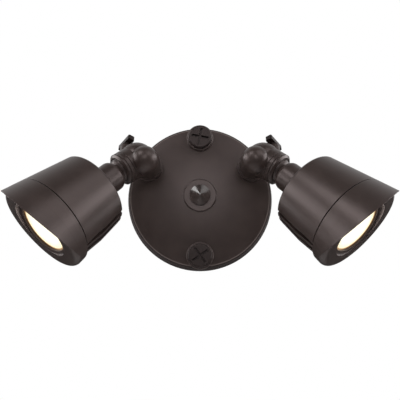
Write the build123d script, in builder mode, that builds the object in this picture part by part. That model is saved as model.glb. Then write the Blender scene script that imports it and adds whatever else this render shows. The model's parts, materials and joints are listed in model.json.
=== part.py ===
from build123d import *
import os
from math import cos, radians, sin, sqrt, tan

# Twin-head flood light on a round wall canopy, in millimetres and degrees.
# The origin is the middle of the wall plane. +Z is up, and the light stands out from the wall along -Y.
# The left-hand pieces are drawn here. Each right-hand piece is the mirror image of its twin.

# Clearances
thread_gap = 0.05
turn_gap = 0.1
ball_gap = 0.2
loose_gap = 0.3

# Canopy: a shallow cast dome with a drawn-in skirt, sealed to the wall by a foam ring
canopy_radius = 63.5
canopy_wall = 2.6
skirt_depth = 12.0
skirt_draft = 2.5
dome_rise = 6.0
canopy_edge_round = 0.9
boss_round = 0.8
gasket_thickness = 3.0
gasket_width = 5.0
gasket_lip = 1.8
gasket_stand = 1.5

# Towers for the two cover screws, and the screws
cover_screw_inset = 12.5
cover_boss_radius = 11.4
cover_boss_rise = 6.4
cover_post_radius = 5.0
cover_screw_head_radius = 10.0
cover_screw_head_height = 3.6
cover_screw_head_round = 1.2
cover_screw_radius = 2.1
cover_screw_tip = 0.3
cross_length = 15.0
cross_width = 2.0
cross_depth = 2.4
top_cross_turn = -11.0
bottom_cross_turn = 34.5
cover_seal_width = 3.6
cover_seal_thickness = 1.0

# Mounting bar with slots for the screws of a round or octagonal wall box
bar_width = 16.0
bar_thickness = 1.6
bar_corner = 3.0
box_slot_length = 14.3
box_slot_width = 4.8
box_slot_web = 1.95
bar_wire_hole_radius = 5.0
ground_screw_drop = 20.0
ground_screw_radius = 1.9
ground_screw_head_radius = 4.0
ground_screw_head_height = 2.4

# Photocell in the middle of the canopy
eye_boss_radius = 14.0
eye_boss_rise = 1.6
eye_radius = 8.8
eye_flange_height = 1.0
eye_rim_height = 0.8
eye_height = 3.6
eye_tip_radius = 0.7
photocell_barrel_radius = 6.0
photocell_barrel_length = 11.6
photocell_nut_radius = 9.0
photocell_nut_height = 3.0

# Hubs that carry the two arms
hub_inset = 12.2
hub_angle = 29.0
hub_radius = 12.2
hub_rise = 7.5
hub_thickness = 9.5
hub_seal_thickness = 1.0
hub_seal_width = 4.0
stem_radius = 6.0
stem_wall = 2.0
stem_spare = 1.0
hub_nut_radius = 8.5
hub_nut_height = 4.0

# Elbow: a domed column that turns on the hub, with a sleeve on its side that ends in a cup for the ball
elbow_shift_x = 7.2
elbow_shift_z = 2.0
elbow_height = 12.4
elbow_dome_height = 21.5
elbow_radius = 14.7
elbow_base_radius = 11.4
elbow_hollow_radius = 8.0
socket_turn = 58.8
socket_droop_angle = 34.8
socket_reach = 14.5
sleeve_radius = 13.6
cup_wall = 1.25
cup_front = 2.0

# Ring nut that keeps the ball in the cup
ring_wall = 1.2
ring_back = -2.0
ring_front = 4.4
ring_lip = 2.0
ring_taper = 1.9
ring_groove_back = 0.9
ring_groove_front = 2.9
ring_groove_depth = 0.7

# Wing screw, aimed at the middle of the ball
wing_lean_angle = 37.4
wing_tilt = 43.8
wing_turn = -58.6
wing_boss_radius = 4.6
wing_boss_height = 23.9
wing_shank_radius = 2.5
wing_tip_gap = 0.4
wing_tip_radius = 0.8
wing_tip_length = 2.0
wing_shoulder_radius = 3.6
wing_shoulder_height = 2.8
wing_length = 17.7
wing_thickness = 5.8
wing_height = 4.6
wing_round = 1.2

# Ball neck between the cup and the head
ball_radius = 10.8
neck_shoulder = 8.5
neck_radius = 12.0
neck_reach = 35.1
neck_bore_radius = 4.0
spigot_radius = 8.0
spigot_spare = 0.6
neck_seal_width = 3.6
neck_seal_thickness = 1.0
neck_nut_radius = 12.0
neck_nut_height = 4.0

# Head: a tapered drum in two castings. Stations are measured forward from the drum's rear edge.
head_turn = 48.4
head_droop_angle = 39.6
visor_roll = -51.3
head_back_radius = 30.8
head_taper = 0.108
head_crown = 4.5
head_seat_radius = 15.0
head_back_round = 2.2
head_back_wall = 5.0
seam_station = 40.3
seam_gap = 0.7
register_step = 5.15
register_length = 4.2
register_wall = 6.0
nut_well_spare = 1.5
driver_seat = 10.0
plate_seat = 27.0
plate_shelf = 4.0

# Cooling grooves along the underside of the rear casting, and how far from its axis the fins between them end
groove_count = 17
groove_pitch_angle = 12.0
groove_width = 4.2
groove_depth = 3.2
fin_radius = 33.0

# Front hood with its visor, a wall that a slanted cut leaves longest on top
hood_floor = 4.7
hood_slope_angle = 7.0
hood_edge_round = 4.5
hood_lip_step = 6.4
hood_recess = 3.2
hood_recess_width = 3.1
visor_inset = 0.03
visor_wall = 2.57
visor_slope = 24.5
visor_cut_station = 47.9
visor_stock = 36.0
hood_seal_width = 1.5
hood_seal_height = 1.2
lock_screw_radius = 1.25
lock_screw_bite = 1.0
lock_screw_sink = 0.4

# Lamp pieces inside the head
pad_thickness = 1.6
pad_inner_radius = 12.0
plate_thickness = 3.0
plate_screw_radius = 1.25
plate_screw_bite = 3.0
plate_screw_head_radius = 1.7
plate_screw_head_height = 1.4
plate_screw_count = 3
board_radius = 17.0
board_thickness = 1.4
emitter_radius = 8.5
emitter_thickness = 1.2
reflector_wall = 1.0
reflector_foot_gap = 1.5
reflector_lap = 1.0
lens_thickness = 2.0
lens_crown = 0.9
lens_gasket_thickness = 1.0


def aim(turn, droop):
    """Direction turned to the left of straight out from the wall, and down by the droop."""
    level = cos(radians(droop))
    return Vector(-level * sin(radians(turn)), -level * cos(radians(turn)), -sin(radians(droop)))


def rolled(plane, angle):
    """The plane turned about its own normal."""
    x_dir = plane.x_dir * cos(radians(angle)) + plane.y_dir * sin(radians(angle))
    return Plane(origin=plane.origin, x_dir=x_dir, z_dir=plane.z_dir)


def meridian(plane):
    """Plane through a turned piece's axis: local X is its radius, local Y runs along the axis."""
    return Plane(origin=plane.origin, x_dir=plane.x_dir, z_dir=-plane.y_dir)


def spindle(plane):
    """Axis that a turned piece is turned about."""
    return Axis(plane.origin, plane.z_dir)


def turned(plane, *outline):
    """Piece turned about the plane's normal from an outline of (radius, station) points."""
    with BuildPart() as piece:
        with BuildSketch(meridian(plane)):
            with BuildLine():
                Polyline(*outline, close=True)
            make_face()
        revolve(axis=spindle(plane))
    return piece


def ring(plane, inner, outer, back, front):
    """Plain ring or, where the inner radius is zero, plain disc."""
    return turned(plane, (inner, back), (outer, back), (outer, front), (inner, front))


def hex_nut(plane, radius, bore, back, height):
    """Six-sided nut whose corners lie at the given radius."""
    with BuildPart() as nut:
        with BuildSketch(plane.offset(back)):
            RegularPolygon(radius, 6)
            Circle(bore, mode=Mode.SUBTRACT)
        extrude(amount=height)
    return nut


def save(piece, name):
    piece.part.label = name
    export_step(piece.part, f"parts/{name}.step")


def save_pair(piece, name):
    """Write a left-hand piece and its mirror image across the middle of the fixture."""
    save(piece, f"{name}_left")
    with BuildPart() as twin:
        mirror(piece.part, about=Plane.YZ)
    save(twin, f"{name}_right")


# Canopy sizes that follow from the ones above
canopy_front = skirt_depth + dome_rise
canopy_front_radius = canopy_radius - skirt_draft
dome_radius = (canopy_front_radius**2 + dome_rise**2) / (2 * dome_rise)
dome_inner_radius = dome_radius - canopy_wall
gasket_outer = canopy_radius - gasket_lip
gasket_inner = gasket_outer - gasket_width
bar_length = 2 * sqrt((gasket_inner - loose_gap) ** 2 - (bar_width / 2) ** 2)
cover_screw_z = canopy_radius - cover_screw_inset
cover_boss_front = skirt_depth + cover_boss_rise
cover_hole_radius = cover_screw_radius + loose_gap
bar_thread_radius = cover_screw_radius + thread_gap
box_slot_z = cover_screw_z - bar_thread_radius - box_slot_web - box_slot_length / 2
eye_boss_front = canopy_front + eye_boss_rise
eye_seat = eye_boss_front + eye_flange_height
hub_x = (canopy_radius - hub_inset) * cos(radians(hub_angle))
hub_z = (canopy_radius - hub_inset) * sin(radians(hub_angle))
hub_face = skirt_depth + hub_rise
hub_inner = hub_face - hub_thickness
elbow_seat = hub_face + hub_seal_thickness
stem_back = hub_inner - hub_nut_height - stem_spare

# Joint sizes
socket_radius = ball_radius + ball_gap
cup_radius = socket_radius + cup_wall
ring_bore = cup_radius + thread_gap
ring_radius = ring_bore + ring_wall
sleeve_front = ring_back - loose_gap
wing_shoulder = wing_boss_height + loose_gap
wing_base = wing_shoulder + wing_shoulder_height
neck_front = neck_reach - head_crown - neck_seal_thickness

# Head stations and radii
register_radius = head_back_radius + head_taper * seam_station - register_step
plate_bay_radius = register_radius - register_wall
driver_bay_radius = plate_bay_radius - plate_shelf
hood_lip_radius = register_radius - hood_lip_step
hood_opening_radius = hood_lip_radius - hood_recess_width
reflector_mouth_radius = hood_opening_radius + reflector_lap
register_front = seam_station + register_length
lens_back = register_front + lens_gasket_thickness
lens_front = lens_back + lens_thickness
lens_radius = register_radius - loose_gap
hood_face = lens_front + hood_floor
hood_back = seam_station + seam_gap
hood_bore = register_radius + turn_gap
seal_front = seam_station + hood_seal_height
lock_station = (seal_front + register_front) / 2
nut_well_radius = neck_nut_radius + nut_well_spare
spigot_end = head_back_wall + neck_nut_height + spigot_spare
pad_back = plate_seat - pad_thickness
plate_front = plate_seat + plate_thickness
plate_screw_circle = (plate_bay_radius + driver_bay_radius) / 2
board_front = plate_front + board_thickness
emitter_front = board_front + emitter_thickness

# Places that the pieces share
wall = Plane(origin=(0, 0, 0), x_dir=(1, 0, 0), z_dir=(0, -1, 0))
hub = Plane(origin=(-hub_x, 0, hub_z), x_dir=(1, 0, 0), z_dir=(0, -1, 0))
elbow_out = elbow_seat + elbow_height
elbow_centre = Vector(-hub_x - elbow_shift_x, -elbow_out, hub_z + elbow_shift_z)
socket_aim = aim(socket_turn, socket_droop_angle)
ball_centre = elbow_centre + socket_aim * socket_reach
socket = Plane(origin=ball_centre, x_dir=(0, 0, 1), z_dir=socket_aim)
wing_side = rolled(socket, wing_lean_angle).x_dir
wing_aim = wing_side * cos(radians(wing_tilt)) - socket_aim * sin(radians(wing_tilt))
wing = rolled(Plane(origin=ball_centre, x_dir=socket_aim, z_dir=wing_aim), wing_turn)
head_aim = aim(head_turn, head_droop_angle)
neck_axis = Plane(origin=ball_centre, x_dir=(0, 0, 1), z_dir=head_aim)
head_origin = ball_centre + head_aim * neck_reach
head = rolled(Plane(origin=head_origin, x_dir=(0, 0, 1), z_dir=head_aim), visor_roll)
lock = Plane(origin=head_origin + head_aim * lock_station, x_dir=head_aim, z_dir=-head.x_dir)


def dome_depth(radius, sphere):
    """Distance from the wall to the dome, or to its inner face, at a radius from the middle."""
    return canopy_front - dome_radius + sqrt(sphere**2 - radius**2)


def head_radius(station):
    """Outer radius of the drum at a distance forward of its rear edge."""
    return head_back_radius + head_taper * station


def canopy_cover():
    middle = canopy_front_radius / 2
    inner_middle = gasket_inner / 2
    inner_corner = dome_depth(gasket_inner, dome_inner_radius)
    with BuildPart() as cover:
        with BuildSketch(meridian(wall)):
            with BuildLine():
                ThreePointArc(
                    (0, canopy_front),
                    (middle, dome_depth(middle, dome_radius)),
                    (canopy_front_radius, skirt_depth),
                )
                Polyline(
                    (canopy_front_radius, skirt_depth),
                    (canopy_radius, gasket_stand),
                    (gasket_outer, gasket_stand),
                    (gasket_outer, gasket_thickness),
                    (0, gasket_thickness),
                    (0, canopy_front),
                )
            make_face()
        revolve(axis=spindle(wall))
        front_edge = cover.edges().filter_by(GeomType.CIRCLE).filter_by(
            lambda edge: abs(edge.radius - canopy_front_radius) < thread_gap
        )
        fillet(front_edge, canopy_edge_round)
        with BuildSketch(wall.offset(gasket_thickness)):
            with Locations((0, cover_screw_z), (0, -cover_screw_z)):
                Circle(cover_boss_radius)
        extrude(amount=cover_boss_front - gasket_thickness)
        with BuildSketch(wall.offset(hub_inner)):
            with Locations((-hub_x, hub_z), (hub_x, hub_z)):
                Circle(hub_radius)
        extrude(amount=hub_thickness)
        with BuildSketch(wall.offset(canopy_front - canopy_wall)):
            Circle(eye_boss_radius)
        extrude(amount=eye_boss_front - canopy_front + canopy_wall)
        for front in (cover_boss_front, hub_face, eye_boss_front):
            rims = cover.edges().filter_by(GeomType.CIRCLE).filter_by(
                lambda edge: abs(edge.arc_center.Y + front) < thread_gap
            )
            fillet(rims, boss_round)
        with BuildSketch(meridian(wall)):
            with BuildLine():
                Polyline(
                    (0, canopy_front - canopy_wall),
                    (0, gasket_thickness),
                    (gasket_inner, gasket_thickness),
                    (gasket_inner, inner_corner),
                )
                ThreePointArc(
                    (gasket_inner, inner_corner),
                    (inner_middle, dome_depth(inner_middle, dome_inner_radius)),
                    (0, canopy_front - canopy_wall),
                )
            make_face()
        revolve(axis=spindle(wall), mode=Mode.SUBTRACT)
        with BuildSketch(wall.offset(gasket_thickness)):
            with Locations((0, cover_screw_z), (0, -cover_screw_z)):
                Circle(cover_post_radius)
        extrude(amount=skirt_depth - gasket_thickness)
        with BuildSketch(wall.offset(hub_inner)):
            with Locations((-hub_x, hub_z), (hub_x, hub_z)):
                Circle(hub_radius)
        extrude(amount=skirt_depth - hub_inner)
        with BuildSketch(wall.offset(gasket_thickness)):
            with Locations((-hub_x, hub_z), (hub_x, hub_z)):
                Circle(hub_nut_radius + loose_gap)
        extrude(amount=hub_inner - gasket_thickness, mode=Mode.SUBTRACT)
        with BuildSketch(wall):
            with Locations((0, cover_screw_z), (0, -cover_screw_z)):
                Circle(cover_hole_radius)
            with Locations((-hub_x, hub_z), (hub_x, hub_z)):
                Circle(stem_radius + turn_gap)
            Circle(photocell_barrel_radius + turn_gap)
        extrude(amount=max(eye_boss_front, hub_face, cover_boss_front), mode=Mode.SUBTRACT)
        with BuildSketch(wall.offset(cover_boss_front - cover_seal_thickness)):
            with Locations((0, cover_screw_z), (0, -cover_screw_z)):
                Circle(cover_hole_radius + cover_seal_width + turn_gap)
        extrude(amount=cover_seal_thickness, mode=Mode.SUBTRACT)
    return cover


def mounting_bar():
    with BuildPart() as bar:
        with BuildSketch(wall):
            RectangleRounded(bar_width, bar_length, bar_corner)
            with Locations((0, box_slot_z), (0, -box_slot_z)):
                SlotOverall(box_slot_length, box_slot_width, rotation=90, mode=Mode.SUBTRACT)
            with Locations((0, cover_screw_z), (0, -cover_screw_z)):
                Circle(bar_thread_radius, mode=Mode.SUBTRACT)
            Circle(bar_wire_hole_radius, mode=Mode.SUBTRACT)
            with Locations((0, -ground_screw_drop)):
                Circle(ground_screw_radius + thread_gap, mode=Mode.SUBTRACT)
        extrude(amount=bar_thickness)
    return bar


def cover_screw(height, cross_turn):
    """Wide pan-head screw with a cross recess, at a height on the canopy."""
    place = rolled(Plane(origin=(0, 0, height), x_dir=(1, 0, 0), z_dir=(0, -1, 0)), cross_turn)
    head_front = cover_boss_front + cover_screw_head_height
    with BuildPart() as screw:
        with BuildSketch(place.offset(cover_boss_front)):
            Circle(cover_screw_head_radius)
        extrude(amount=cover_screw_head_height)
        fillet(screw.edges().sort_by(Axis.Y)[0], cover_screw_head_round)
        with BuildSketch(place.offset(cover_screw_tip)):
            Circle(cover_screw_radius)
        extrude(amount=cover_boss_front - cover_screw_tip)
        with BuildSketch(place.offset(head_front - cross_depth)):
            Rectangle(cross_length, cross_width)
            Rectangle(cross_width, cross_length)
        extrude(amount=cross_depth, mode=Mode.SUBTRACT)
    return screw


def cover_screw_seals():
    with BuildPart() as seals:
        with BuildSketch(wall.offset(cover_boss_front - cover_seal_thickness)):
            with Locations((0, cover_screw_z), (0, -cover_screw_z)):
                Circle(cover_hole_radius + cover_seal_width)
                Circle(cover_hole_radius, mode=Mode.SUBTRACT)
        extrude(amount=cover_seal_thickness)
    return seals


def ground_screw():
    place = Plane(origin=(0, 0, -ground_screw_drop), x_dir=(1, 0, 0), z_dir=(0, -1, 0))
    with BuildPart() as screw:
        with BuildSketch(place):
            Circle(ground_screw_radius)
        extrude(amount=bar_thickness)
        with BuildSketch(place.offset(bar_thickness)):
            RegularPolygon(ground_screw_head_radius, 6)
        extrude(amount=ground_screw_head_height)
    return screw


def photocell_body():
    return turned(
        wall,
        (0, eye_boss_front - photocell_barrel_length),
        (photocell_barrel_radius, eye_boss_front - photocell_barrel_length),
        (photocell_barrel_radius, eye_boss_front),
        (eye_radius, eye_boss_front),
        (eye_radius, eye_seat),
        (0, eye_seat),
    )


def photocell_lens():
    return turned(
        wall,
        (0, eye_seat),
        (eye_radius, eye_seat),
        (eye_radius, eye_seat + eye_rim_height),
        (eye_tip_radius, eye_seat + eye_rim_height + eye_height),
        (0, eye_seat + eye_rim_height + eye_height),
    )


def elbow():
    dome_end = elbow_seat + elbow_dome_height
    bend = elbow_base_radius * sqrt(0.5)
    elbow_back = -socket_reach - elbow_radius
    sleeve_back = sqrt(elbow_radius**2 - sleeve_radius**2) - socket_reach
    hollow_back = -socket_reach - elbow_hollow_radius
    meet = (elbow_hollow_radius**2 - socket_radius**2 - socket_reach**2) / (2 * socket_reach)
    meet_radius = sqrt(socket_radius**2 - meet**2)
    with BuildPart() as casting:
        with BuildSketch(meridian(hub)):
            with BuildLine():
                Polyline(
                    (0, dome_end + elbow_base_radius),
                    (0, elbow_seat),
                    (elbow_base_radius, elbow_seat),
                    (elbow_base_radius, dome_end),
                )
                ThreePointArc(
                    (elbow_base_radius, dome_end),
                    (bend, dome_end + bend),
                    (0, dome_end + elbow_base_radius),
                )
            make_face()
        revolve(axis=spindle(hub))
        with BuildSketch(meridian(socket)):
            with BuildLine():
                ThreePointArc((0, elbow_back), (elbow_radius, -socket_reach), (sleeve_radius, sleeve_back))
                Polyline(
                    (sleeve_radius, sleeve_back),
                    (sleeve_radius, sleeve_front),
                    (cup_radius, sleeve_front),
                    (cup_radius, cup_front),
                    (0, cup_front),
                    (0, elbow_back),
                )
            make_face()
        revolve(axis=spindle(socket))
        with BuildSketch(wing.offset(ball_radius)):
            Circle(wing_boss_radius)
        extrude(amount=wing_boss_height - ball_radius)
        split(bisect_by=hub.offset(elbow_seat), keep=Keep.TOP)
        with BuildSketch(hub.offset(stem_back)):
            Circle(stem_radius)
        extrude(amount=elbow_seat - stem_back)
        with BuildSketch(meridian(socket)):
            with BuildLine():
                ThreePointArc((0, hollow_back), (elbow_hollow_radius, -socket_reach), (meet_radius, meet))
                ThreePointArc(
                    (meet_radius, meet),
                    (socket_radius * sqrt(0.75), -socket_radius / 2),
                    (socket_radius, 0),
                )
                Polyline(
                    (socket_radius, 0),
                    (socket_radius, cup_front),
                    (0, cup_front),
                    (0, hollow_back),
                )
            make_face()
        revolve(axis=spindle(socket), mode=Mode.SUBTRACT)
        with BuildSketch(hub.offset(stem_back)):
            Circle(stem_radius - stem_wall)
        extrude(amount=elbow_out - stem_back, mode=Mode.SUBTRACT)
        with BuildSketch(wing):
            Circle(wing_shank_radius + turn_gap)
        extrude(amount=wing_boss_height, mode=Mode.SUBTRACT)
    return casting


def ball_ring():
    groove_radius = ring_radius - ring_groove_depth
    lip_radius = socket_radius - ring_lip
    lip_back = cup_front + thread_gap
    with BuildPart() as nut:
        with BuildSketch(meridian(socket)):
            with BuildLine():
                Polyline(
                    (ring_bore, ring_back),
                    (ring_radius, ring_back),
                    (ring_radius, ring_groove_back),
                    (groove_radius, ring_groove_back),
                    (groove_radius, ring_groove_front),
                    (ring_radius, ring_groove_front),
                    (ring_radius - ring_taper, ring_front),
                    (lip_radius, ring_front),
                    (lip_radius, lip_back),
                    (ring_bore, lip_back),
                    close=True,
                )
            make_face()
        revolve(axis=spindle(socket))
        with Locations(ball_centre):
            Sphere(socket_radius, mode=Mode.SUBTRACT)
    return nut


def wing_screw():
    tip = ball_radius + wing_tip_gap
    with BuildPart() as screw:
        with BuildSketch(meridian(wing)):
            with BuildLine():
                Polyline(
                    (0, tip),
                    (wing_tip_radius, tip),
                    (wing_shank_radius, tip + wing_tip_length),
                    (wing_shank_radius, wing_shoulder),
                    (wing_shoulder_radius, wing_shoulder),
                    (wing_shoulder_radius, wing_base),
                    (0, wing_base),
                    close=True,
                )
            make_face()
        revolve(axis=spindle(wing))
        with BuildSketch(wing.offset(wing_base)):
            RectangleRounded(wing_length, wing_thickness, wing_round)
        extrude(amount=wing_height)
        paddle_top = screw.faces().sort_by(spindle(wing))[-1]
        fillet(paddle_top.edges(), wing_round / 2)
    return screw


def ball_neck():
    back = -sqrt(ball_radius**2 - neck_bore_radius**2)
    root_radius = sqrt(ball_radius**2 - neck_shoulder**2)
    shoulder_round = neck_radius - root_radius
    bend = shoulder_round * (1 - sqrt(0.5))
    with BuildPart() as neck:
        with BuildSketch(meridian(neck_axis)):
            with BuildLine():
                ThreePointArc((neck_bore_radius, back), (ball_radius, 0), (root_radius, neck_shoulder))
                ThreePointArc(
                    (root_radius, neck_shoulder),
                    (neck_radius - shoulder_round + shoulder_round * sqrt(0.5), neck_shoulder + bend),
                    (neck_radius, neck_shoulder + shoulder_round),
                )
                Polyline(
                    (neck_radius, neck_shoulder + shoulder_round),
                    (neck_radius, neck_front),
                    (spigot_radius, neck_front),
                    (spigot_radius, neck_reach + spigot_end),
                    (neck_bore_radius, neck_reach + spigot_end),
                    (neck_bore_radius, back),
                )
            make_face()
        revolve(axis=spindle(neck_axis))
    return neck


def rear_housing():
    spigot_hole = spigot_radius + turn_gap
    fin_half_width = fin_radius * tan(radians(groove_pitch_angle / 2)) + loose_gap
    with BuildPart() as housing:
        with BuildSketch(meridian(head)):
            with BuildLine():
                Polyline(
                    (spigot_hole, -head_crown),
                    (head_seat_radius, -head_crown),
                    (head_back_radius, 0),
                    (head_radius(seam_station), seam_station),
                    (register_radius, seam_station),
                    (register_radius, register_front),
                    (plate_bay_radius, register_front),
                    (plate_bay_radius, plate_seat),
                    (driver_bay_radius, plate_seat),
                    (driver_bay_radius, driver_seat),
                    (nut_well_radius, driver_seat),
                    (nut_well_radius, head_back_wall),
                    (spigot_hole, head_back_wall),
                    close=True,
                )
            make_face()
        revolve(axis=spindle(head))
        back_edge = housing.edges().filter_by(GeomType.CIRCLE).filter_by(
            lambda edge: abs(edge.radius - head_back_radius) < thread_gap
        )
        fillet(back_edge, head_back_round)
        for step in range(groove_count):
            angle = 180 + (step - (groove_count - 1) / 2) * groove_pitch_angle
            with BuildSketch(meridian(rolled(head, angle))):
                with BuildLine():
                    Polyline(
                        (head_radius(-head_crown) - groove_depth, -head_crown),
                        (head_radius(-head_crown) + groove_depth, -head_crown),
                        (head_radius(seam_station) + groove_depth, seam_station),
                        (head_radius(seam_station) - groove_depth, seam_station),
                        close=True,
                    )
                make_face()
            extrude(amount=groove_width / 2, both=True, mode=Mode.SUBTRACT)
            with BuildSketch(meridian(rolled(head, angle))):
                with BuildLine():
                    Polyline(
                        (fin_radius, -head_crown),
                        (head_radius(seam_station) + groove_depth, -head_crown),
                        (head_radius(seam_station) + groove_depth, seam_station),
                        (fin_radius, seam_station),
                        close=True,
                    )
                make_face()
            extrude(amount=fin_half_width, both=True, mode=Mode.SUBTRACT)
        with BuildSketch(head.offset(plate_seat - plate_screw_bite)):
            with PolarLocations(plate_screw_circle, plate_screw_count):
                Circle(plate_screw_radius + thread_gap)
        extrude(amount=plate_screw_bite, mode=Mode.SUBTRACT)
        with BuildSketch(lock.offset(register_radius - lock_screw_bite)):
            Circle(lock_screw_radius + thread_gap)
        extrude(amount=lock_screw_bite, mode=Mode.SUBTRACT)
    return housing


def hood():
    seal_bore = register_radius + thread_gap + hood_seal_width + turn_gap
    stock_front = lens_front + visor_stock
    half_span = head_radius(stock_front)
    rise = half_span * tan(radians(visor_slope))
    lean = half_span * tan(radians(hood_slope_angle))
    recess_floor = hood_face - hood_recess
    visor_root = head_radius(register_front) - visor_inset
    visor_end = head_radius(stock_front) - visor_inset
    with BuildPart() as visor:
        with BuildSketch(meridian(head)):
            with BuildLine():
                Polyline(
                    (visor_root - visor_wall, register_front),
                    (visor_root, register_front),
                    (visor_end, stock_front),
                    (visor_end - visor_wall, stock_front),
                    close=True,
                )
            make_face()
        revolve(axis=spindle(head))
        with BuildSketch(meridian(head)):
            with BuildLine():
                Polyline(
                    (-half_span, visor_cut_station - rise),
                    (half_span, visor_cut_station + rise),
                    (half_span, visor_cut_station + rise + visor_stock),
                    (-half_span, visor_cut_station + rise + visor_stock),
                    close=True,
                )
            make_face()
        extrude(amount=half_span, both=True, mode=Mode.SUBTRACT)
    with BuildPart() as front:
        with BuildSketch(meridian(head)):
            with BuildLine():
                Polyline(
                    (seal_bore, hood_back),
                    (head_radius(hood_back), hood_back),
                    (head_radius(hood_face + lean), hood_face + lean),
                    (hood_opening_radius, hood_face + lean),
                    (hood_opening_radius, lens_front),
                    (hood_bore, lens_front),
                    (hood_bore, seal_front),
                    (seal_bore, seal_front),
                    close=True,
                )
            make_face()
        revolve(axis=spindle(head))
        with BuildSketch(meridian(head)):
            with BuildLine():
                Polyline(
                    (-half_span, hood_face - lean),
                    (half_span, hood_face + lean),
                    (half_span, stock_front),
                    (-half_span, stock_front),
                    close=True,
                )
            make_face()
        extrude(amount=half_span, both=True, mode=Mode.SUBTRACT)
        face = front.faces().sort_by(Axis(head.origin, head.z_dir))[-1]
        fillet(face.outer_wire().edges(), hood_edge_round)
        with BuildSketch(head.offset(recess_floor)):
            Circle(hood_lip_radius)
        extrude(amount=lean + hood_recess, mode=Mode.SUBTRACT)
        add(visor.part)
        with BuildSketch(lock.offset(register_radius)):
            Circle(lock_screw_radius + thread_gap)
        extrude(amount=half_span - register_radius, mode=Mode.SUBTRACT)
    return front


def lock_screw():
    start = register_radius - lock_screw_bite
    with BuildPart() as screw:
        with BuildSketch(lock.offset(start)):
            Circle(lock_screw_radius)
        extrude(amount=head_radius(lock_station) - lock_screw_sink - start)
    return screw


def led_plate():
    with BuildPart() as plate:
        with BuildSketch(head.offset(plate_seat)):
            Circle(plate_bay_radius - turn_gap)
            Circle(neck_bore_radius, mode=Mode.SUBTRACT)
            with PolarLocations(plate_screw_circle, plate_screw_count):
                Circle(plate_screw_radius + turn_gap, mode=Mode.SUBTRACT)
        extrude(amount=plate_thickness)
    return plate


def led_plate_screws():
    with BuildPart() as screws:
        with BuildSketch(head.offset(plate_seat - plate_screw_bite)):
            with PolarLocations(plate_screw_circle, plate_screw_count):
                Circle(plate_screw_radius)
        extrude(amount=plate_screw_bite + plate_thickness)
        with BuildSketch(head.offset(plate_front)):
            with PolarLocations(plate_screw_circle, plate_screw_count):
                Circle(plate_screw_head_radius)
        extrude(amount=plate_screw_head_height)
    return screws


def reflector():
    foot_radius = emitter_radius + reflector_foot_gap
    flange_radius = plate_bay_radius - loose_gap
    return turned(
        head,
        (foot_radius, board_front),
        (foot_radius + reflector_wall, board_front),
        (reflector_mouth_radius + reflector_wall, lens_back - reflector_wall),
        (flange_radius, lens_back - reflector_wall),
        (flange_radius, lens_back),
        (reflector_mouth_radius, lens_back),
    )


def lens():
    crown_radius = hood_opening_radius - loose_gap
    bow = (crown_radius**2 + lens_crown**2) / (2 * lens_crown)
    half = crown_radius / 2
    with BuildPart() as disc:
        with BuildSketch(meridian(head)):
            with BuildLine():
                Polyline(
                    (0, lens_front + lens_crown),
                    (0, lens_back),
                    (lens_radius, lens_back),
                    (lens_radius, lens_front),
                    (crown_radius, lens_front),
                )
                ThreePointArc(
                    (crown_radius, lens_front),
                    (half, lens_front + lens_crown - bow + sqrt(bow**2 - half**2)),
                    (0, lens_front + lens_crown),
                )
            make_face()
        revolve(axis=spindle(head))
    return disc


os.makedirs("parts", exist_ok=True)

# Canopy and what stays on the wall
save(canopy_cover(), "canopy_cover")
save(ring(wall, gasket_inner, gasket_outer, 0, gasket_thickness), "wall_gasket")
save(mounting_bar(), "mounting_bar")
save(cover_screw(cover_screw_z, top_cross_turn), "cover_screw_top")
save(cover_screw(-cover_screw_z, bottom_cross_turn), "cover_screw_bottom")
save(cover_screw_seals(), "cover_screw_seals")
save(ground_screw(), "ground_screw")
save(photocell_body(), "photocell_body")
save(photocell_lens(), "photocell_lens")
eye_nut_front = dome_depth(photocell_nut_radius, dome_inner_radius)
eye_nut_back = eye_nut_front - photocell_nut_height
eye_nut_bore = photocell_barrel_radius + thread_gap
save(hex_nut(wall, photocell_nut_radius, eye_nut_bore, eye_nut_back, photocell_nut_height), "photocell_nut")

# Arms
stem_bore = stem_radius + thread_gap
nut_back = hub_inner - hub_nut_height
seal_bore = stem_radius + turn_gap
save_pair(ring(hub, seal_bore, seal_bore + hub_seal_width, hub_face, elbow_seat), "hub_seal")
save_pair(hex_nut(hub, hub_nut_radius, stem_bore, nut_back, hub_nut_height), "hub_lock_nut")
save_pair(elbow(), "elbow")
save_pair(ball_ring(), "ball_ring")
save_pair(wing_screw(), "wing_screw")
save_pair(ball_neck(), "ball_neck")

# Heads
neck_seal_bore = spigot_radius + turn_gap
neck_seal_back = -head_crown - neck_seal_thickness
neck_seal_radius = neck_seal_bore + neck_seal_width
save_pair(ring(head, neck_seal_bore, neck_seal_radius, neck_seal_back, -head_crown), "neck_seal")
spigot_bore = spigot_radius + thread_gap
save_pair(hex_nut(head, neck_nut_radius, spigot_bore, head_back_wall, neck_nut_height), "neck_lock_nut")
save_pair(rear_housing(), "rear_housing")
driver_radius = driver_bay_radius - loose_gap
save_pair(ring(head, 0, driver_radius, driver_seat, pad_back), "driver_module")
save_pair(ring(head, pad_inner_radius, driver_radius, pad_back, plate_seat), "driver_pad")
save_pair(led_plate(), "led_plate")
save_pair(led_plate_screws(), "led_plate_screws")
save_pair(ring(head, 0, board_radius, plate_front, board_front), "led_board")
save_pair(ring(head, 0, emitter_radius, board_front, emitter_front), "led_emitter")
save_pair(reflector(), "reflector")
gasket_bore = plate_bay_radius + loose_gap
save_pair(ring(head, gasket_bore, lens_radius, register_front, lens_back), "lens_gasket")
save_pair(lens(), "lens")
hood_seal_bore = register_radius + thread_gap
hood_seal_radius = hood_seal_bore + hood_seal_width
save_pair(ring(head, hood_seal_bore, hood_seal_radius, seam_station, seal_front), "hood_seal")
save_pair(hood(), "hood")
save_pair(lock_screw(), "hood_lock_screw")
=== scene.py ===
import json
import math

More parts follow.
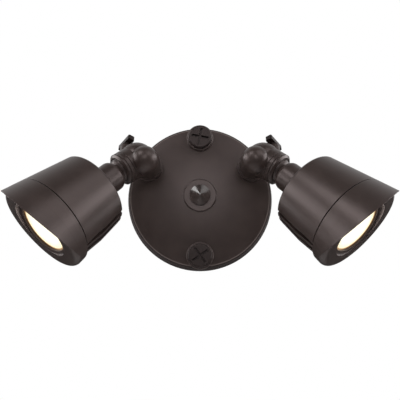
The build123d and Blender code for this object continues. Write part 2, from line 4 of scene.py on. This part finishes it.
import bpy
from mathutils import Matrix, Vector


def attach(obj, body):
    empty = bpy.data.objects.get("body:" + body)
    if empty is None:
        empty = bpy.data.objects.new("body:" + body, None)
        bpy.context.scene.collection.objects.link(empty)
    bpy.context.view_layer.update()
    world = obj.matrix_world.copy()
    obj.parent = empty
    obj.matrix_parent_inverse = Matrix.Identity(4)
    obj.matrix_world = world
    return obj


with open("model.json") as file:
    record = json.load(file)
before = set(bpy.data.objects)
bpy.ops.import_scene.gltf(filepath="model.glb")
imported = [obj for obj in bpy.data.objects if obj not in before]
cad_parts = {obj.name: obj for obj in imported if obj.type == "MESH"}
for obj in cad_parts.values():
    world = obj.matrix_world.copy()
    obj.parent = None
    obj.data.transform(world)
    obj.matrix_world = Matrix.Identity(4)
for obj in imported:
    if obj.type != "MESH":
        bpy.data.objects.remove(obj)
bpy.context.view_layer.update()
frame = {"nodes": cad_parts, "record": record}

# The photograph's viewpoint: a little below the light and looking up at it.
CAMERA_PLACE = (0.0, -0.4136, -0.0729)
CAMERA_PITCH = math.radians(9.88)
CAMERA_LENS = 42.55
CAMERA_SENSOR = 36.0
CAMERA_NEAREST = 0.01

# Pale floor, and how far from its middle the shadow starts and ends to run out into white.
FLOOR_HEIGHT = -0.22
FLOOR_HALF = 3.0
FLOOR_PALE = (0.90, 0.90, 0.90)
FLOOR_PALER = (0.93, 0.93, 0.93)
SHADOW_CENTRE = (0.0, -0.06, FLOOR_HEIGHT)
SHADOW_NEAR = 0.13
SHADOW_FAR = 0.30

# Light on the object from all round, and what its gloss meets:
# a dim room, a backdrop lit from above and a bright floor.
AMBIENT = 0.40
ROOM = 0.05
BACKDROP = 0.70
BACKDROP_BEHIND = (-0.1, 0.4)
BACKDROP_ABOVE = (0.05, 0.5)
FLOOR_SHINE = 0.60
FLOOR_SHINE_NEAR = 0.10
FLOOR_SHINE_FAR = 0.34
WHITE = (1.0, 1.0, 1.0)

# Soft boxes: place, width, height and watts. All of them face the middle of the light.
LIGHT_MIDDLE = (0.0, -0.05, 0.0)
SOFT_BOXES = {
    "front_box": ((0.0, -0.95, 0.23), 0.36, 0.32, 1.6),
    "left_box": ((-0.95, 0.02, 0.18), 0.90, 0.75, 9.6),
    "right_box": ((0.95, 0.02, 0.18), 0.90, 0.75, 9.6),
    "upper_left_box": ((-0.43, -0.512, 0.602), 0.28, 0.28, 2.0),
    "upper_right_box": ((0.43, -0.512, 0.602), 0.60, 0.60, 2.0),
}

# Left head in metres: where its axis starts, where it points, and the lens's rim.
HEAD_ORIGIN = (-0.082477, -0.057024, -0.003778)
HEAD_AXIS = (-0.5762, -0.5116, -0.6374)
LENS_RADIUS = 0.0205

# The lamp before each lens, with its station along the head's axis.
LENS_LAMP_RADIUS = 0.0195
LENS_LAMP_STATION = 0.0488
LENS_LAMP_WATTS = 0.024

# Where the lit lens turns amber and then brown, as shares of its radius.
LENS_AMBER = (0.62, 0.93)
LENS_BROWN = (0.90, 0.97)

# The canopy's rim: the radius of its front edge, the band over which a painted highlight line along
# that edge goes from full to none on either side and painted shade on the skirt sets in, and how far
# from the wall the rim ends.
CANOPY_EDGE_RADIUS = 0.0597
CANOPY_GLINT_AND_SHADE_BAND = (0.0002, 0.0006)
CANOPY_RIM_FRONT = 0.0139
CANOPY_RIM_CLEAR = 0.0149

# Powder coat: its colours, and how much of each mark shows in it, painted highlight and painted
# shade among them.
BRONZE_DARK = (0.0225, 0.0153, 0.0133)
BRONZE_LIGHT = (0.0295, 0.0203, 0.0178)
# SCREW_DARK_AND_SKIRT_SHADE is the screws' own dark paint, and also the painted shade on the
# canopy's skirt.
SCREW_DARK_AND_SKIRT_SHADE = (0.0105, 0.0072, 0.0064)
SCREW_LIGHT = (0.0150, 0.0103, 0.0092)
# Pale colour of the paint's flecks and worn edges, also used as painted highlight on edges and on
# the canopy's front edge.
BRONZE_PALE_AND_GLINT = (0.085, 0.068, 0.063)
BRONZE_SHEEN = (1.0, 0.84, 0.83, 1.0)
SPECK_SHARE = 0.25
WORN_AND_GLINT_SHARE = 0.55
# SKIRT_SHADE_SHARE: how far painted shade darkens the canopy's skirt.
SKIRT_SHADE_SHARE = 0.9
SKIRT_DULLING = 0.5
PEEL_TO_PIMPLE = 1.6

# The other finishes' colours.
EYE_DARK = (0.024, 0.0165, 0.015)
EYE_LIGHT = (0.042, 0.030, 0.027)
BLACK_PLASTIC_DARK = (0.012, 0.012, 0.012)
BLACK_PLASTIC_LIGHT = (0.024, 0.024, 0.024)
CASE_PLASTIC_DARK = (0.66, 0.66, 0.63)
CASE_PLASTIC_LIGHT = (0.76, 0.76, 0.73)
RUBBER_BLACK = (0.013, 0.013, 0.013)
RUBBER_BLOOM = (0.045, 0.044, 0.043)
ZINC_DARK = (0.40, 0.41, 0.42)
ZINC_LIGHT = (0.68, 0.68, 0.67)
GREEN_DYE_DARK = (0.020, 0.170, 0.050)
GREEN_DYE_LIGHT = (0.045, 0.300, 0.085)
RUBBED_ZINC = (0.55, 0.56, 0.50)
ALUMINIUM_DARK = (0.60, 0.61, 0.62)
ALUMINIUM_LIGHT = (0.78, 0.78, 0.78)
PAD_DARK = (0.30, 0.35, 0.40)
PAD_LIGHT = (0.52, 0.57, 0.62)
LACQUER_LIGHT = (0.80, 0.80, 0.77)
LACQUER_DARK = (0.70, 0.71, 0.66)
PHOSPHOR_DARK = (0.88, 0.56, 0.10)
PHOSPHOR_LIGHT = (0.98, 0.80, 0.30)
REFLECTOR_DARK = (0.80, 0.80, 0.80)
REFLECTOR_LIGHT = (0.90, 0.90, 0.89)
GLOW_CREAM = (0.84, 0.80, 0.63)
GLOW_AMBER = (0.86, 0.68, 0.38)
GLOW_BROWN = (0.26, 0.13, 0.04)
GLOW_DIMPLE = (1.0, 0.86, 0.55)
FROST_DARK = (0.40, 0.37, 0.30)
FROST_LIGHT = (0.48, 0.45, 0.38)
FROST_BROWN = (0.11, 0.06, 0.025)

EDGE_MASK_GAIN = 4.0


class Wire:
    """A socket of a finish's node tree; sums written with it add Math nodes."""

    def __init__(self, tree, socket=None):
        self.tree = tree
        self.socket = socket

    def node(self, kind, settings=None, inputs=None, output=0):
        made = self.tree.nodes.new(kind)
        for name, value in (settings or {}).items():
            setattr(made, name, value)
        for place, value in (inputs or {}).items():
            if isinstance(value, Wire):
                self.tree.links.new(value.socket, made.inputs[place])
            else:
                made.inputs[place].default_value = value
        return Wire(self.tree, made.outputs[output])

    def maths(self, operation, *values):
        return self.node("ShaderNodeMath", {"operation": operation}, dict(enumerate(values)))

    def vector(self, operation, *values, output=0):
        return self.node("ShaderNodeVectorMath", {"operation": operation},
                         dict(enumerate(values)), output)

    def between(self, low, high):
        return self.node("ShaderNodeMapRange", {"interpolation_type": "SMOOTHSTEP"},
                         {0: self, 1: low, 2: high, 3: 0.0, 4: 1.0})

    def blend(self, first, second):
        return self.node("ShaderNodeMix", {"data_type": "RGBA"},
                         {0: self, 6: shade(first), 7: shade(second)}, 2)

    def __add__(self, other):
        return self.maths("ADD", self, other)

    def __sub__(self, other):
        return self.maths("SUBTRACT", self, other)

    def __rsub__(self, other):
        return self.maths("SUBTRACT", other, self)

    def __mul__(self, other):
        return self.maths("MULTIPLY", self, other)

    def __truediv__(self, other):
        return self.maths("DIVIDE", self, other)

    __radd__ = __add__
    __rmul__ = __mul__


def shade(colour):
    return colour if isinstance(colour, Wire) else (*colour, 1.0)


def grey(level):
    return (level, level, level)


def new_finish(name):
    """A material with a bare Principled shader, its shader node and its tree."""
    finish = bpy.data.materials.new(name)
    finish.use_nodes = True
    shader = finish.node_tree.nodes["Principled BSDF"]
    return finish, shader, Wire(finish.node_tree)


def set_shader(tree, shader, **values):
    """Sockets by name, with _ for a space: a wire is linked, anything else is set."""
    for name, value in values.items():
        socket = shader.inputs[name.replace("_", " ").title().replace("Ior", "IOR")]
        if isinstance(value, Wire):
            tree.tree.links.new(value.socket, socket)
        else:
            socket.default_value = value


def surface_place(tree):
    return tree.node("ShaderNodeTexCoord", output="Object")


def left_place(tree):
    """The place on the surface, with the right half folded onto the left."""
    parts = tree.vector("ABSOLUTE", surface_place(tree))
    side = tree.vector("MULTIPLY", parts, (-1.0, 0.0, 0.0))
    rest = tree.vector("MULTIPLY", surface_place(tree), (0.0, 1.0, 1.0))
    return tree.vector("ADD", side, rest)


def head_distance(tree):
    """How far a point of a head is from the head's axis."""
    arm = tree.vector("SUBTRACT", left_place(tree), HEAD_ORIGIN)
    across = tree.vector("CROSS_PRODUCT", arm, HEAD_AXIS)
    return tree.vector("LENGTH", across, output="Value")


def canopy_reach(tree):
    """How far a point of the canopy is from its middle, and 0 on what stands before its rim."""
    place = surface_place(tree)
    flat = tree.vector("MULTIPLY", place, (1.0, 0.0, 1.0))
    reach = tree.vector("LENGTH", flat, output="Value")
    depth = tree.vector("DOT_PRODUCT", place, (0.0, -1.0, 0.0), output="Value")
    return reach * depth.between(CANOPY_RIM_CLEAR, CANOPY_RIM_FRONT)


def noise(tree, place, scale, detail=2.0, roughness=0.55):
    return tree.node("ShaderNodeTexNoise", None,
                     {"Vector": place, "Scale": scale, "Detail": detail, "Roughness": roughness})


def cells(tree, place, scale, output="Distance"):
    return tree.node("ShaderNodeTexVoronoi", None, {"Vector": place, "Scale": scale}, output)


def edge_normal(tree, radius):
    return tree.node("ShaderNodeBevel", {"samples": 4}, {"Radius": radius})


def edge_mask(tree, rounded):
    facing = tree.node("ShaderNodeNewGeometry", output="Normal")
    turn = tree.vector("DOT_PRODUCT", rounded, facing, output="Value")
    return tree.maths("MINIMUM", (1.0 - turn) * EDGE_MASK_GAIN, 1.0)


def bump(tree, height, normal=None):
    """Relief whose height is in metres."""
    inputs = {"Height": height, "Distance": 1.0, "Strength": 1.0}
    if normal:
        inputs["Normal"] = normal
    return tree.node("ShaderNodeBump", None, inputs)


def powder_coat(name, dark, light, gloss, shine, pimple):
    """Sprayed and baked bronze paint: fine pimples, faint orange peel, edges paler from wear and
    painted highlight.

    The canopy's front edge is a painted highlight line, and behind it the drawn-in rim has painted
    shade and is duller.
    """
    finish, shader, tree = new_finish(name)
    place = surface_place(tree)
    pimples = noise(tree, place, scale=2400.0, detail=2.0, roughness=0.6)
    peel = noise(tree, place, scale=620.0, detail=2.0)
    cloud = noise(tree, place, scale=75.0, detail=4.0, roughness=0.6)
    specks = cells(tree, place, scale=1500.0).between(0.10, 0.0)
    rounded = edge_normal(tree, radius=0.0005)
    # Edges paler, partly from wear and partly as painted highlight on edges.
    worn_and_glint = edge_mask(tree, rounded) * noise(tree, place, scale=260.0, detail=3.0).between(0.30, 0.62)
    # Past the canopy's front edge, the skirt gets painted shade.
    beyond = canopy_reach(tree) - CANOPY_EDGE_RADIUS
    skirt_shade = beyond.between(*CANOPY_GLINT_AND_SHADE_BAND)
    # A painted highlight line along the canopy's front edge.
    painted_edge_glint = 1.0 - tree.maths("ABSOLUTE", beyond).between(*CANOPY_GLINT_AND_SHADE_BAND)
    paint = (cloud * 0.7 + pimples * 0.3).between(0.34, 0.66).blend(dark, light)
    paint = (specks * SPECK_SHARE).blend(paint, BRONZE_PALE_AND_GLINT)
    paint = (worn_and_glint * WORN_AND_GLINT_SHARE).blend(paint, BRONZE_PALE_AND_GLINT)
    # Painted shade darkens the canopy's skirt.
    paint = (skirt_shade * SKIRT_SHADE_SHARE).blend(paint, SCREW_DARK_AND_SKIRT_SHADE)
    # Painted highlight along the canopy's front edge.
    paint = painted_edge_glint.blend(paint, BRONZE_PALE_AND_GLINT)
    dulling = (pimples - 0.5) * 0.10 + (cloud - 0.5) * 0.08 + skirt_shade * SKIRT_DULLING
    height = pimples * pimple + peel * (pimple * PEEL_TO_PIMPLE)
    set_shader(tree, shader,
               base_color=paint,
               roughness=gloss + dulling,
               specular_ior_level=shine,
               specular_tint=BRONZE_SHEEN,
               normal=bump(tree, height, rounded))
    return finish


def dark_eye():
    """Smoked moulded plastic, polished, with faint rings from the mould."""
    finish, shader, tree = new_finish("smoked_eye_plastic")
    place = surface_place(tree)
    flow = noise(tree, place, scale=240.0, detail=3.0)
    rings = tree.node("ShaderNodeTexWave", {"wave_type": "RINGS", "rings_direction": "Y"},
                      {"Vector": place, "Scale": 260.0, "Distortion": 0.6, "Detail": 1.0})
    set_shader(tree, shader,
               base_color=flow.between(0.3, 0.7).blend(EYE_DARK, EYE_LIGHT),
               roughness=0.20 + flow * 0.12,
               coat_weight=0.25 + flow * 0.2,
               coat_roughness=0.06,
               normal=bump(tree, rings * 0.000003 + flow * 0.00001))
    return finish


def moulded_plastic(name, dark, light, gloss, grain):
    """Spark-eroded mould texture with slight flow marks."""
    finish, shader, tree = new_finish(name)
    place = surface_place(tree)
    texture = noise(tree, place, scale=1900.0, detail=3.0, roughness=0.65)
    flow = noise(tree, place, scale=55.0, detail=2.0)
    rounded = edge_normal(tree, radius=0.0004)
    rubbed = edge_mask(tree, rounded) * 0.35
    colour = (flow * 0.6 + texture * 0.4).between(0.32, 0.68).blend(dark, light)
    colour = rubbed.blend(colour, [1.4 * part + 0.01 for part in light])
    set_shader(tree, shader,
               base_color=colour,
               roughness=gloss + (texture - 0.5) * 0.2,
               normal=bump(tree, texture * grain, rounded))
    return finish


def seal_rubber():
    """Black moulded rubber with a pale bloom in patches."""
    finish, shader, tree = new_finish("seal_rubber_black")
    place = surface_place(tree)
    pores = cells(tree, place, scale=1400.0)
    bloom = noise(tree, place, scale=130.0, detail=4.0).between(0.46, 0.72)
    skin = noise(tree, place, scale=2600.0, detail=2.0)
    set_shader(tree, shader,
               base_color=(bloom * 0.6).blend(RUBBER_BLACK, RUBBER_BLOOM),
               roughness=0.72 + bloom * 0.14,
               specular_ior_level=0.3,
               normal=bump(tree, pores * 0.00004 + skin * 0.00005))
    return finish


def zinc_plate():
    """Galvanised steel: spangled grains of different grey, with a soft haze."""
    finish, shader, tree = new_finish("galvanised_steel")
    place = surface_place(tree)
    spangle = cells(tree, place, scale=230.0, output="Color")
    grain = tree.vector("DOT_PRODUCT", spangle, (0.33, 0.33, 0.34), output="Value")
    haze = noise(tree, place, scale=60.0, detail=4.0)
    drawn = tree.vector("MULTIPLY", place, (160.0, 900.0, 3600.0))
    scratch = noise(tree, drawn, scale=1.0, detail=3.0)
    set_shader(tree, shader,
               base_color=(grain * 0.7 + haze * 0.3).blend(ZINC_DARK, ZINC_LIGHT),
               roughness=0.30 + grain * 0.16 + scratch * 0.08,
               metallic=1.0,
               normal=bump(tree, scratch * 0.00002 + haze * 0.00005,
                           edge_normal(tree, radius=0.0004)))
    return finish


def green_plate():
    """Green-dyed zinc of an earth screw, rubbed to metal on its edges."""
    finish, shader, tree = new_finish("green_dyed_zinc")
    place = surface_place(tree)
    cloud = noise(tree, place, scale=420.0, detail=3.0)
    rounded = edge_normal(tree, radius=0.0003)
    rubbed = edge_mask(tree, rounded) * noise(tree, place, scale=900.0).between(0.35, 0.6)
    dye = cloud.between(0.3, 0.7).blend(GREEN_DYE_DARK, GREEN_DYE_LIGHT)
    set_shader(tree, shader,
               base_color=rubbed.blend(dye, RUBBED_ZINC),
               roughness=0.30 + cloud * 0.14,
               metallic=0.75 + rubbed * 0.2,
               normal=bump(tree, cloud * 0.00004, rounded))
    return finish


def turned_aluminium():
    """Bare aluminium with fine lathe marks round the head's axis."""
    finish, shader, tree = new_finish("turned_aluminium")
    marks = tree.maths("SINE", head_distance(tree) * 9000.0)
    cloud = noise(tree, surface_place(tree), scale=140.0, detail=3.0)
    set_shader(tree, shader,
               base_color=cloud.between(0.3, 0.7).blend(ALUMINIUM_DARK, ALUMINIUM_LIGHT),
               roughness=0.28 + cloud * 0.12,
               metallic=1.0,
               normal=bump(tree, marks * 0.000006 + cloud * 0.00003,
                           edge_normal(tree, radius=0.0004)))
    return finish


def gap_pad():
    """Soft grey-blue heat pad with the weave of its glass cloth showing through."""
    finish, shader, tree = new_finish("woven_heat_pad")
    place = surface_place(tree)
    warp, weft = [tree.node("ShaderNodeTexWave", {"bands_direction": way},
                            {"Vector": place, "Scale": 420.0}) for way in "XZ"]
    weave = warp * weft
    dust = noise(tree, place, scale=500.0, detail=3.0)
    set_shader(tree, shader,
               base_color=(weave * 0.6 + dust * 0.4).blend(PAD_DARK, PAD_LIGHT),
               roughness=0.78 + dust * 0.1,
               normal=bump(tree, weave * 0.00008 + dust * 0.00003))
    return finish


def solder_mask():
    """White board lacquer, slightly raised over the copper below it."""
    finish, shader, tree = new_finish("white_board_lacquer")
    stretched = tree.vector("MULTIPLY", surface_place(tree), (1.0, 1.0, 1.3))
    tracks = tree.node("ShaderNodeTexBrick", {"offset": 0.5},
                       {"Vector": stretched, "Scale": 120.0,
                        "Mortar Size": 0.06, "Mortar Smooth": 0.4}, "Fac")
    speck = noise(tree, surface_place(tree), scale=1200.0, detail=2.0)
    set_shader(tree, shader,
               base_color=(tracks * 0.7 + speck * 0.3).blend(LACQUER_LIGHT, LACQUER_DARK),
               roughness=0.30 + speck * 0.14,
               normal=bump(tree, speck * 0.00001 - tracks * 0.00004))
    return finish


def phosphor_dome():
    """Yellow phosphor in clear gel, with the grains of the powder showing."""
    finish, shader, tree = new_finish("yellow_phosphor")
    grains = cells(tree, surface_place(tree), scale=3200.0)
    cloud = noise(tree, surface_place(tree), scale=500.0, detail=3.0)
    set_shader(tree, shader,
               base_color=(grains * 0.6 + cloud * 0.4).blend(PHOSPHOR_DARK, PHOSPHOR_LIGHT),
               roughness=0.32 + grains * 0.2,
               coat_weight=0.4 + cloud * 0.2,
               normal=bump(tree, grains * 0.00004))
    return finish


def bright_reflector():
    """Vacuum-metallised plastic with the orange peel of its lacquer."""
    finish, shader, tree = new_finish("metallised_reflector")
    peel = noise(tree, surface_place(tree), scale=520.0, detail=2.0)
    dust = cells(tree, surface_place(tree), scale=900.0).between(0.08, 0.0)
    set_shader(tree, shader,
               base_color=(peel * 0.8 + dust * 0.2).blend(REFLECTOR_DARK, REFLECTOR_LIGHT),
               roughness=0.09 + peel * 0.06 + dust * 0.2,
               metallic=1.0,
               normal=bump(tree, peel * 0.00004))
    return finish


def lit_lens():
    """Frosted lens, lit: cream in the middle, then amber and brown at the rim, finely dimpled."""
    finish, shader, tree = new_finish("frosted_lens_lit")
    place = surface_place(tree)
    reach = head_distance(tree) / LENS_RADIUS
    amber = reach.between(*LENS_AMBER)
    brown = reach.between(*LENS_BROWN)
    dimples = cells(tree, place, scale=640.0)
    frost = noise(tree, place, scale=1800.0, detail=2.0)
    glow = amber.blend(GLOW_CREAM, GLOW_AMBER)
    glow = brown.blend(glow, GLOW_BROWN)
    glow = (dimples * 0.10).blend(glow, GLOW_DIMPLE)
    frosted = frost.between(0.3, 0.7).blend(FROST_DARK, FROST_LIGHT)
    set_shader(tree, shader,
               base_color=brown.blend(frosted, FROST_BROWN),
               roughness=0.34 + frost * 0.16,
               emission_color=glow,
               emission_strength=1.0,
               normal=bump(tree, dimples * 0.00012 + frost * 0.00003))
    return finish


def dress_nodes():
    finishes = {
        "bronze_casting": powder_coat("bronze_powder_coat", BRONZE_DARK, BRONZE_LIGHT,
                                      gloss=0.37, shine=0.5, pimple=0.000005),
        "bronze_screw": powder_coat("bronze_screw_paint", SCREW_DARK_AND_SKIRT_SHADE, SCREW_LIGHT,
                                    gloss=0.40, shine=0.28, pimple=0.000004),
        "seal_rubber": seal_rubber(),
        "zinc_steel": zinc_plate(),
        "green_screw": green_plate(),
        "black_plastic": moulded_plastic("black_moulded_plastic", BLACK_PLASTIC_DARK,
                                         BLACK_PLASTIC_LIGHT, gloss=0.45, grain=0.00001),
        "eye_plastic": dark_eye(),
        "bare_aluminium": turned_aluminium(),
        "driver_case": moulded_plastic("pale_case_plastic", CASE_PLASTIC_DARK,
                                       CASE_PLASTIC_LIGHT, gloss=0.50, grain=0.00001),
        "thermal_pad": gap_pad(),
        "board_white": solder_mask(),
        "emitter": phosphor_dome(),
        "reflector_plastic": bright_reflector(),
        "lens_glow": lit_lens(),
    }
    for piece in frame["record"]["subparts"]:
        slots = frame["nodes"][piece["node"]].data.materials
        for place in range(len(slots)):
            slots[place] = finishes[piece["material_slot"]]


def set_camera():
    eye = bpy.data.cameras.new("photo_view")
    eye.lens = CAMERA_LENS
    eye.sensor_width = CAMERA_SENSOR
    eye.sensor_fit = "HORIZONTAL"
    eye.clip_start = CAMERA_NEAREST
    holder = bpy.data.objects.new("photo_view", eye)
    holder.location = CAMERA_PLACE
    holder.rotation_euler = (math.pi / 2 + CAMERA_PITCH, 0.0, 0.0)
    bpy.context.scene.collection.objects.link(holder)
    bpy.context.scene.camera = holder


def area_lamp(name, shape, watts, place, way):
    """An area lamp that stands at a place and shines one way, and the object that holds it."""
    lamp = bpy.data.lights.new(name, "AREA")
    lamp.shape = shape
    lamp.energy = watts
    holder = bpy.data.objects.new(name, lamp)
    holder.location = place
    holder.rotation_euler = way.to_track_quat("-Z", "Y").to_euler()
    bpy.context.scene.collection.objects.link(holder)
    return lamp, holder


def soft_box(name, place, width, height, watts):
    way = Vector(LIGHT_MIDDLE) - Vector(place)
    lamp, holder = area_lamp(name, "RECTANGLE", watts, place, way)
    lamp.size = width
    lamp.size_y = height


def lens_glow(name, side, body):
    """The light that a lit lens throws into its hood, from a disc just before the lens."""
    axis = Vector(HEAD_AXIS)
    place = Vector(HEAD_ORIGIN) + LENS_LAMP_STATION * axis
    lamp, holder = area_lamp(name, "DISK", LENS_LAMP_WATTS, (side * place.x, place.y, place.z),
                             Vector((side * axis.x, axis.y, axis.z)))
    lamp.size = 2 * LENS_LAMP_RADIUS
    holder.visible_camera = False
    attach(holder, body)


def set_lights():
    for name, values in SOFT_BOXES.items():
        soft_box(name, *values)
    for side, body in ((1, "head_left"), (-1, "head_right")):
        lens_glow(f"{body}_glow", side, body)


def seen_rays(tree):
    """1 for rays that show the backdrop itself: to the camera, or through glass."""
    camera = tree.node("ShaderNodeLightPath", output="Is Camera Ray")
    through = tree.node("ShaderNodeLightPath", output="Is Transmission Ray")
    return tree.maths("MAXIMUM", camera, through)


def gloss_rays(tree):
    return tree.node("ShaderNodeLightPath", output="Is Glossy Ray")


def set_backdrop():
    """White for the camera, plain light on the object, and a dim room before it in its gloss."""
    world = bpy.data.worlds.new("studio_white")
    world.use_nodes = True
    tree = Wire(world.node_tree)
    light = world.node_tree.nodes["Background"]
    way = tree.node("ShaderNodeTexCoord", output="Generated")
    back = tree.vector("DOT_PRODUCT", way, (0.0, 1.0, 0.0), output="Value")
    up = tree.vector("DOT_PRODUCT", way, (0.0, 0.0, 1.0), output="Value")
    lit = back.between(*BACKDROP_BEHIND) * up.between(*BACKDROP_ABOVE)
    level = gloss_rays(tree).blend(grey(AMBIENT), lit.blend(grey(ROOM), grey(BACKDROP)))
    level = seen_rays(tree).blend(level, WHITE)
    world.node_tree.links.new(level.socket, light.inputs["Color"])
    bpy.context.scene.world = world


def lay_floor():
    """A pale floor that keeps the shadow near the light and runs out into white."""
    corners = [(-1, -1), (1, -1), (1, 1), (-1, 1)]
    sheet = bpy.data.meshes.new("studio_floor")
    sheet.from_pydata([(FLOOR_HALF * x, FLOOR_HALF * y, FLOOR_HEIGHT) for x, y in corners],
                      [], [(0, 1, 2, 3)])
    finish, shader, tree = new_finish("pale_floor")
    away = tree.vector("DISTANCE", surface_place(tree), SHADOW_CENTRE, output="Value")
    fade = away.between(SHADOW_NEAR, SHADOW_FAR) * seen_rays(tree)
    grain = noise(tree, surface_place(tree), scale=90.0, detail=3.0)
    set_shader(tree, shader, roughness=0.9, base_color=grain.blend(FLOOR_PALE, FLOOR_PALER))
    plain = Wire(finish.node_tree, shader.outputs[0])
    shine = away.between(FLOOR_SHINE_NEAR, FLOOR_SHINE_FAR).blend(grey(FLOOR_SHINE), grey(ROOM))
    mirrored = tree.node("ShaderNodeEmission", None, {"Color": shine, "Strength": 1.0})
    plain = tree.node("ShaderNodeMixShader", None, {0: gloss_rays(tree), 1: plain, 2: mirrored})
    white = tree.node("ShaderNodeEmission", None, {"Color": shade(WHITE), "Strength": 1.0})
    mixed = tree.node("ShaderNodeMixShader", None, {0: fade, 1: plain, 2: white})
    finish.node_tree.links.new(mixed.socket, finish.node_tree.nodes["Material Output"].inputs[0])
    sheet.materials.append(finish)
    floor = bpy.data.objects.new("studio_floor", sheet)
    bpy.context.scene.collection.objects.link(floor)


set_camera()
dress_nodes()
set_lights()
set_backdrop()
lay_floor()
bpy.context.scene.view_settings.view_transform = "Standard"
